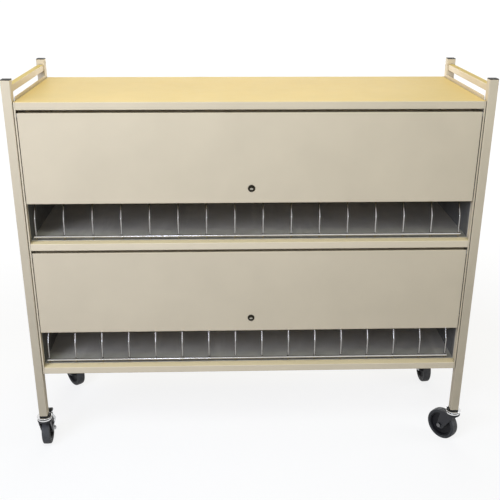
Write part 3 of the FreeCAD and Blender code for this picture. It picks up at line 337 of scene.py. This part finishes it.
def half_shaded_plating(name, color, shade_tone):
    """Bright plating on the races' tops, darkened on the half turned to the cart's
    middle as painted shade."""
    n = new_material(name)
    out_x, out_y = (n.combine("ABSOLUTE", n.along(axis)) for axis in "XY")
    outward = n.combine("SUBTRACT", n.combine("ADD", out_x, out_y), POST_X + POST_Y)
    ragged = n.combine("ADD", outward, n.mottle(350.0, 3.0, 0.5, -0.002, 0.002))
    shaded_half = n.spread(ragged, -0.005, 0.003, 1.0, 0.0)
    smear = n.combine("ADD", n.combine("MULTIPLY", shaded_half, 0.35), 0.10)
    return n.surface(n.blend(shaded_half, color, shade_tone), smear,
                     n.bump(n.noise(900.0), 0.05, 0.0002), metallic=1.0)


def zinc(name, color):
    """Zinc-plated steel: cloudy tone, soft spangle and a fine directional brush."""
    n = new_material(name)
    tone = n.blend(n.mottle(30.0, 4.0, 0.6), shade(color, 0.82), shade(color, 1.10))
    spangle = n.add("ShaderNodeRGBToBW", {"Color": n.cells(180.0, "F1", "Color")})
    flecks = n.spread(spangle.outputs["Val"], 0.2, 0.8, 0.0, 0.35)
    tone = n.blend(flecks, tone, shade(color, 1.18))
    brush = n.bump(n.noise(420.0, 2.0, 0.5, (0.06, 1, 1)), 0.12, 0.0003, n.rounded(0.0004))
    return n.surface(tone, n.mottle(80.0, 3.0, 0.5, 0.26, 0.42), brush, metallic=1.0)


def moulded(name, color, roughness, specular=0.45):
    """Injection-moulded plastic with a spark-eroded grain."""
    n = new_material(name)
    tone = n.blend(n.mottle(60.0, 3.0), shade(color, 0.88), shade(color, 1.14))
    scuff = n.spread(n.noise(240.0, 4.0, 0.7, (1, 1, 0.3)), 0.66, 0.76, 0.0, 0.30)
    tone = n.blend(scuff, tone, shade(color, 1.6, 0.02))
    grain = n.bump(n.noise(1100.0, 2.0, 0.6), 0.25, 0.0003, n.rounded(0.0005))
    return n.surface(tone, n.mottle(90.0, 3.0, 0.6, *roughness), grain, specular=specular)


def rubber(name, color, dust):
    """Cast rubber with floor dust in its pores."""
    n = new_material(name)
    tone = n.blend(n.mottle(40.0, 4.0, 0.6), shade(color, 0.85), shade(color, 1.15))
    specks = n.spread(n.noise(520.0, 4.0, 0.7), 0.52, 0.70, 0.0, dust)
    tone = n.blend(specks, tone, shade(color, 0.5, 0.14))
    pores = n.bump(n.noise(1300.0, 3.0, 0.7), 0.30, 0.0003)
    return n.surface(tone, n.mottle(120.0, 3.0, 0.5, 0.58, 0.78), pores, specular=0.35)


MATERIALS = {
    "beige_paint": powder_coat("beige_powder_coat", BEIGE, top_light_tint=PAINTED_TOP_LIGHT),
    "grey_liner": grained_sheet("grey_grained_sheet", (0.52, 0.49, 0.415)),
    "wire_chrome": plated("chromed_wire", (0.36, 0.355, 0.35), 0.13),
    "race_chrome": plated("chromed_race", BRIGHT_CHROME, 0.10),
    "lock_chrome": plated("dark_plating", LOCK_DARK, 0.24, 0.08),
    "zinc_steel": zinc("zinc_plate", (0.58, 0.59, 0.60)),
    "white_nylon": moulded("white_nylon", (0.72, 0.72, 0.68), (0.42, 0.55)),
    "black_plastic": moulded("black_moulding", (0.012, 0.012, 0.012), (0.45, 0.58), 0.22),
    "fork_paint": powder_coat("black_stove_enamel", (0.022, 0.022, 0.025), (0.38, 0.50), 0.35),
    "wheel_plastic": moulded("wheel_moulding", (0.007, 0.007, 0.009), (0.42, 0.55), 0.18),
    "tread_rubber": rubber("grey_rubber", (0.036, 0.037, 0.039), 0.22),
}
TREAD_WORN = rubber("worn_tread", (0.080, 0.080, 0.081), 0.55)
# Race tops with painted shade on their inner half.
HALF_SHADED_CHROME = half_shaded_plating("race_top_with_painted_shade", BRIGHT_CHROME, RACE_TOP_SHADE)


def own_finishes():
    """Finishes of the nodes that look a little different from the rest of their slot, most by
    painted light or shade.
    """
    # Handles: a stronger painted warm light on faces that look up.
    handle = powder_coat("beige_powder_coat_on_handles", BEIGE, top_light_tint=(0.97, 0.89, 0.47))
    # Lower shelves: a lighter copy of the coat, which is painted light, and painted warm light on
    # faces that look up.
    shelf = powder_coat("beige_powder_coat_on_shelves", shade(BEIGE, 1.13),
                        top_light_tint=(1.10, 1.07, 0.90))
    # Doors: deeper painted shade in the gap under the lip above.
    door = powder_coat("beige_powder_coat_on_doors", BEIGE, top_light_tint=PAINTED_TOP_LIGHT,
                       gap_shade=(0.34, 0.86))
    # Posts: painted shade on their lower ends.
    post = powder_coat("beige_powder_coat_on_posts", BEIGE, painted_shade=(0.80, 0.805, 0.81))
    rail = plated("chromed_rail", (0.62, 0.61, 0.60), 0.16)
    dull = zinc("dull_zinc_plate", (0.16, 0.16, 0.165))
    finishes = {
        # Top shelf: the strongest painted warm light on faces that look up.
        "top_shelf": powder_coat("beige_powder_coat_on_top", BEIGE, top_light_tint=(1.07, 0.98, 0.63)),
        "middle_shelf": shelf, "bottom_shelf": shelf,
        "left_handle": handle, "right_handle": handle,
        "front_right_caster_axle": dull, "rear_left_caster_axle": dull,
    }
    for corner in CORNERS:
        finishes[corner + "_post"] = post
    for compartment in COMPARTMENTS:
        low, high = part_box(compartment + "_lock_plug")
        centre = tuple((a + b) / 2 for a, b in zip(low, high))
        finishes[compartment + "_lock_plug"] = lock_plug(compartment + "_key_plug", centre)
        finishes[compartment + "_door_panel"] = door
        finishes[compartment + "_rack_rails"] = rail
    return finishes


def finish_parts():
    """Give every node of the part its own finish, or else that of its slot."""
    slots = {row["node"]: row["material_slot"] for row in frame["record"]["subparts"]}
    finishes = own_finishes()
    for node, body in frame["nodes"].items():
        body.data.materials.clear()
        body.data.materials.append(finishes.get(node, MATERIALS[slots[node]]))


# ---- pieces built here -----------------------------------------------------------
def new_piece(name, mesh_builder, materials, body, replaced=()):
    """Mesh object from a bmesh, with its finish, its body and what it stands for."""
    mesh = bpy.data.meshes.new(name)
    bm = bmesh.new()
    mesh_builder(bm)
    bmesh.ops.recalc_face_normals(bm, faces=bm.faces)
    bm.to_mesh(mesh)
    bm.free()
    piece = bpy.data.objects.new(name, mesh)
    bpy.context.scene.collection.objects.link(piece)
    for material in materials:
        mesh.materials.append(material)
    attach(piece, body)
    if replaced:
        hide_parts(*replaced)


def post_matrix(corner):
    """From a post's own axis to the row frame."""
    sign_x, sign_y, _ = CORNERS[corner]
    return Matrix.Translation((sign_x * POST_X, sign_y * POST_Y, 0))


def wheel_matrix(corner):
    """From the wheel's own axes (axle along X) to the row frame."""
    turn = Matrix.Rotation(math.radians(CORNERS[corner][2]), 4, "Z")
    return post_matrix(corner) @ turn @ Matrix.Translation((0, TRAIL, WHEEL_R))


def arc(centre, radius, start, end, count):
    """Points of a circular arc, angles in degrees from the second coordinate's axis."""
    points = []
    for k in range(count + 1):
        a = math.radians(start + (end - start) * k / count)
        points.append((centre[0] + radius * math.sin(a), centre[1] + radius * math.cos(a)))
    return points


def mirrored(right):
    """The same points on the wheel's other side, in the opposite order."""
    return [(r, -s) for r, s in reversed(right)]


def tyre_outline():
    """Section of the tyre as (radius, sideways), with a moulding line beside the rim."""
    half = TREAD_WIDTH / 2
    bead = ((0.0, -0.0004), (0.0006, 0.0), (0.0022, 0.0), (0.0027, -0.0005), (0.0032, 0.0))
    right = [(TREAD_INNER_R + r, half + s) for r, s in bead]
    right += arc((WHEEL_R - TREAD_CROWN - TREAD_SHOULDER_R, half - TREAD_SHOULDER_R),
                 TREAD_SHOULDER_R, 0, 86, 7)
    right += [(WHEEL_R - TREAD_CROWN * 0.35, half * 0.42), (WHEEL_R, 0.0006)]
    return right + [(WHEEL_R, 0.0)] + mirrored(right)


def hub_outline():
    """Section of the wheel centre as (radius, sideways): bore, raised collar, web and
    rim, with their fillets."""
    right = [(AXLE_R + 0.00005, HUB_HALF - 0.0004), (AXLE_R + 0.0006, HUB_HALF),
             (HUB_R - 0.0034, HUB_HALF), (HUB_R - 0.0024, HUB_HALF - 0.0006),
             (HUB_R - 0.0012, WEB_HALF + 0.0050), (HUB_R - 0.0004, WEB_HALF + 0.0022),
             (HUB_R + 0.0008, WEB_HALF + 0.0006), (HUB_R + 0.0024, WEB_HALF),
             (WEB_MIDDLE_R, WEB_HALF - 0.0003), (RIM_IN - 0.0030, WEB_HALF),
             (RIM_IN - 0.0012, WEB_HALF + 0.0008), (RIM_IN - 0.0004, WEB_HALF + 0.0030),
             (RIM_IN + 0.0002, RIM_HALF - 0.0006), (RIM_IN + 0.0009, RIM_HALF),
             (TREAD_INNER_R - 0.0005, RIM_HALF), (TREAD_INNER_R, RIM_HALF - 0.0005)]
    return right + mirrored(right)


def race_outline():
    """Half section of the swivel race as (radius, height): the stem above, a shallow
    rolled cup over a deeper one with the ball gap between, and the riveted kingpin
    below."""
    foot = RACE_TOP - RACE_HEIGHT
    edge = RACE_TOP - RACE_TOP_FALL
    rivet_top = CROWN_UNDERSIDE - RIVET_GAP
    rivet_foot = rivet_top - RIVET_HEIGHT
    stem = [(0.0, STEM_TOP), (STEM_R - 0.001, STEM_TOP), (STEM_R, STEM_TOP - 0.001),
            (STEM_R, RACE_TOP + 0.0006), (STEM_R + 0.0006, RACE_TOP)]
    upper_cup = [(RACE_R - 0.0060, RACE_TOP), (RACE_R - 0.0020, edge)]
    upper_cup += arc((RACE_R - RACE_ROLL, edge - RACE_ROLL), RACE_ROLL, 10, 90, 8)
    upper_cup += [(RACE_R, UPPER_RACE_FOOT + 0.0003), (RACE_R - 0.0004, UPPER_RACE_FOOT),
                  (RACE_R - 0.0014, UPPER_RACE_FOOT), (RACE_WAIST_R, UPPER_RACE_FOOT - 0.0002)]
    lower_cup = [(RACE_WAIST_R, LOWER_RACE_TOP), (LOWER_RACE_R - LOWER_RACE_LIP, LOWER_RACE_TOP)]
    lower_cup += arc((LOWER_RACE_R - LOWER_RACE_LIP, LOWER_RACE_TOP - LOWER_RACE_LIP),
                     LOWER_RACE_LIP, 10, 90, 8)
    lower_cup += arc((LOWER_RACE_R - LOWER_RACE_BEND, foot + LOWER_RACE_BEND),
                     LOWER_RACE_BEND, 100, 180, 8)
    kingpin = [(KINGPIN_R, foot), (KINGPIN_R, rivet_top), (RIVET_R, rivet_top),
               (RIVET_R - 0.0003, rivet_top - 0.0010), (RIVET_R - 0.0022, rivet_foot),
               (0.0, rivet_foot)]
    return stem + upper_cup + lower_cup + kingpin


def lathe(bm, outline, matrix, finish=lambda first, second: 0, count=112):
    """Revolve a closed outline of (radius, sideways) points about X."""
    rings = []
    for step in range(count):
        angle = 2 * math.pi * step / count
        rings.append([bm.verts.new(matrix @ Vector((s, r * math.sin(angle), r * math.cos(angle))))
                      for r, s in outline])
    for step in range(count):
        here, there = rings[step], rings[(step + 1) % count]
        for i in range(len(outline)):
            j = (i + 1) % len(outline)
            face = bm.faces.new((here[i], here[j], there[j], there[i]))
            face.smooth = True
            face.material_index = finish(outline[i], outline[j])


def spin_about_z(bm, outline, matrix, finish, count=72):
    """Revolve (radius, height) points about Z; the ends lie on the axis."""
    inner = outline[1:-1]
    top = bm.verts.new(matrix @ Vector((0, 0, outline[0][1])))
    bottom = bm.verts.new(matrix @ Vector((0, 0, outline[-1][1])))
    rings = []
    for step in range(count):
        a = 2 * math.pi * step / count
        rings.append([bm.verts.new(matrix @ Vector((r * math.cos(a), r * math.sin(a), z)))
                      for r, z in inner])
    for step in range(count):
        here, there = rings[step], rings[(step + 1) % count]
        for corners in ((top, here[0], there[0]), (bottom, there[-1], here[-1])):
            bm.faces.new(corners).smooth = True
        for i in range(len(inner) - 1):
            face = bm.faces.new((here[i], here[i + 1], there[i + 1], there[i]))
            face.smooth = True
            face.material_index = finish(inner[i], inner[i + 1])


def build_wheels():
    """Tyres with worn treads, and wheel centres, in the place of the part's plainer ones."""
    outline = tyre_outline()
    side, tread = range(2)

    def tyre_finish(first, second):
        """Worn rubber on the tread, clean rubber on the sides."""
        return tread if min(first[0], second[0]) > WHEEL_R - TREAD_BAND else side

    for corner in CORNERS:
        place = wheel_matrix(corner)
        new_piece(corner + "_tyre_moulding",
                  lambda bm: lathe(bm, outline, place, tyre_finish),
                  (MATERIALS["tread_rubber"], TREAD_WORN),
                  corner + "_wheel", [corner + "_tyre"])
        new_piece(corner + "_wheel_moulding",
                  lambda bm: lathe(bm, hub_outline(), place),
                  (MATERIALS["wheel_plastic"],),
                  corner + "_wheel", [corner + "_wheel_hub"])


def build_races():
    """The four swivel races with their stems and kingpins, as one piece."""
    outline = race_outline()
    bright, ball_gap, shaded_top = range(3)
    near = 0.0001

    def race_finish(first, second):
        """Black in the ball gap, which is greasy and also painted shade; painted shade on the
        top's inner half; bright plating elsewhere.
        """
        low, high = min(first[1], second[1]), max(first[1], second[1])
        if low > LOWER_RACE_TOP - near and high < UPPER_RACE_FOOT + near:
            return ball_gap
        if low > RACE_TOP - RACE_TOP_FALL - near / 2 and high < RACE_TOP + 0.0010:
            return shaded_top
        return bright

    def all_four(bm):
        for corner in CORNERS:
            spin_about_z(bm, outline, post_matrix(corner), race_finish)

    new_piece("caster_races", all_four,
              (MATERIALS["race_chrome"], MATERIALS["black_plastic"], HALF_SHADED_CHROME),
              "root", ["caster_stems"])


def add_weld(bm, centre, seed):
    """Small uneven fillet of weld metal."""
    made = bmesh.ops.create_icosphere(bm, subdivisions=3, radius=1.0)
    shift = Vector((seed * WELD_SEED_STEP, 0, 0))
    for vertex in made["verts"]:
        ripple = 1.0 + WELD_RIPPLE * noise.noise(vertex.co * WELD_RIPPLE_SCALE + shift)
        spot = vertex.co * ripple
        vertex.co = centre + Vector([a * b for a, b in zip(spot, WELD_SIZE)])


def build_rack_welds():
    """Resistance welds where the divider legs cross the two rails of each rack."""
    for compartment in COMPARTMENTS:
        rails_low, rails_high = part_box(compartment + "_rack_rails")
        wires_low, wires_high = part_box(compartment + "_dividers")
        z = rails_low[2] + RAIL_R
        first, last = wires_low[0] + WIRE_R, wires_high[0] - WIRE_R
        places = []
        for rail_y, side in ((rails_low[1] + RAIL_R, 1), (rails_high[1] - RAIL_R, -1)):
            for index in range(SLOTS + 1):
                x = first + (last - first) * index / SLOTS
                places.append(Vector((x, rail_y + side * RAIL_R * WELD_STAND_OFF, z)))

        def all_welds(bm):
            for seed, place in enumerate(places):
                add_weld(bm, place, seed)
            for face in bm.faces:
                face.smooth = True

        new_piece(compartment + "_rack_welds", all_welds, (MATERIALS["wire_chrome"],),
                  "root")


# ---- floor, light and camera -----------------------------------------------------
WORLD_STRENGTH = 0.08
FLOOR_REACH = 40.0
FLOOR_DARK, FLOOR_LIGHT = (0.30, 0.30, 0.30), (0.32, 0.32, 0.32)  # for the light it throws up
FLOOR_SEEN = (0.90, 0.90, 0.90)
FLOOR_GLOW = 1.05
FLOOR_WHITE = 0.78  # the glow's share beside the cart, which rises to 1 far from it
NEAR_CART, FAR_FROM_CART = 1.2, 2.6
LAMPS = [  # name, place, what it faces, size, watts, colour, whether metal shows it
    ("key", (-1.7, -2.1, 2.0), (-0.3, 0.0, 0.9), (1.1, 1.1), 44.6, (0.735, 0.791, 1.0), False),
    ("front", (-0.45, -2.5, 1.55), (-0.1, 0.0, 0.8), (0.42, 0.26), 7.4, (0.730, 0.784, 1.0), True),
    ("high", (-0.3, -1.9, 3.0), (0.0, 0.0, 0.6), (1.2, 0.8), 32.2, (0.932, 1.0, 0.975), False),
    ("overhead", (0.0, 0.5, 2.8), (0.0, 0.1, 1.1), (2.2, 0.9), 14.4, (1.0, 0.85, 0.42), True),
    ("right", (3.0, -0.6, 1.3), (0.0, 0.0, 0.6), (1.6, 1.6), 20.0, (1.0, 1.0, 1.0), True),
    ("rear", (0.0, 3.0, 0.95), (0.0, 0.0, 0.7), (2.6, 1.2), 50.0, (1.0, 1.0, 1.0), True),
]
CAMERA_PLACE = (-0.07161, -2.2585, 1.49779)
CAMERA_TURN, CAMERA_DOWN, CAMERA_ROLL = -1.900, 21.724, 0.201  # degrees
SENSOR_WIDTH = 36.0
FOCAL_PIXELS, PICTURE_PIXELS = 754.6, 500


def seen_directly(n):
    """1 for camera, mirror and transmission rays, 0 for diffuse ones."""
    path = n.add("ShaderNodeLightPath")
    seen = n.combine("MAXIMUM", path.outputs["Is Camera Ray"], path.outputs["Is Glossy Ray"])
    return n.combine("MAXIMUM", seen, path.outputs["Is Transmission Ray"])


def mix_shaders(n, factor, first, second):
    """Finish the node tree with the first shader where factor is 0, the second where 1."""
    mix = n.add("ShaderNodeMixShader", {0: factor, 1: first.outputs[0], 2: second.outputs[0]})
    n.put(mix.outputs[0], n.output.inputs["Surface"])


def make_floor():
    """Plain floor that looks white, more so away from the cart, keeps the cart's shadow
    and throws little light back up."""
    n = new_material("studio_floor")
    seen = seen_directly(n)
    thrown = n.blend(n.mottle(0.6), FLOOR_DARK, FLOOR_LIGHT)
    matte = n.add("ShaderNodeBsdfDiffuse", {"Color": n.blend(seen, thrown, FLOOR_SEEN)})
    white = n.add("ShaderNodeEmission", {"Color": WHITE, "Strength": FLOOR_GLOW})
    share = n.spread(n.vector("LENGTH", n.place()), NEAR_CART, FAR_FROM_CART, FLOOR_WHITE, 1.0)
    mix_shaders(n, n.combine("MULTIPLY", seen, share), matte, white)
    mesh = bpy.data.meshes.new("studio_floor")
    ends = ((-1, -1), (1, -1), (1, 1), (-1, 1))
    corners = [(x * FLOOR_REACH, y * FLOOR_REACH, 0) for x, y in ends]
    mesh.from_pydata(corners, [], [(0, 1, 2, 3)])
    mesh.materials.append(n.owner)
    floor = bpy.data.objects.new("studio_floor", mesh)
    bpy.context.scene.collection.objects.link(floor)


def make_world():
    """White where it is seen, and only a faint fill light for the rest."""
    world = bpy.data.worlds.new("studio")
    bpy.context.scene.world = world
    n = Nodes(world, "ShaderNodeOutputWorld")
    fill = n.add("ShaderNodeBackground", {"Color": WHITE, "Strength": WORLD_STRENGTH})
    white = n.add("ShaderNodeBackground", {"Color": WHITE, "Strength": 1.0})
    mix_shaders(n, seen_directly(n), fill, white)


def make_lamp(name, place, target, size, power, color, in_metal):
    """Softbox that faces target. It isn't seen itself, and shows in metal if in_metal."""
    data = bpy.data.lights.new(name, "AREA")
    data.shape = "RECTANGLE"
    data.size, data.size_y = size
    data.energy = power
    data.color = color
    lamp = bpy.data.objects.new(name, data)
    lamp.location = place
    lamp.rotation_euler = (Vector(target) - Vector(place)).to_track_quat("-Z", "Y").to_euler()
    lamp.visible_camera = False
    lamp.visible_glossy = in_metal
    bpy.context.scene.collection.objects.link(lamp)


def make_camera():
    """The camera that was fitted to the photo."""
    data = bpy.data.cameras.new("camera")
    data.sensor_width = SENSOR_WIDTH
    data.lens = SENSOR_WIDTH * FOCAL_PIXELS / PICTURE_PIXELS
    camera = bpy.data.objects.new("camera", data)
    bpy.context.scene.collection.objects.link(camera)
    camera.matrix_world = (Matrix.Translation(CAMERA_PLACE)
                           @ Matrix.Rotation(math.radians(CAMERA_TURN), 4, "Z")
                           @ Matrix.Rotation(math.radians(90 - CAMERA_DOWN), 4, "X")
                           @ Matrix.Rotation(math.radians(CAMERA_ROLL), 4, "Z"))
    bpy.context.scene.camera = camera


finish_parts()
build_wheels()
build_races()
build_rack_welds()
make_floor()
make_world()
for row in LAMPS:
    make_lamp(*row)
make_camera()
bpy.context.scene.view_settings.view_transform = "Standard"
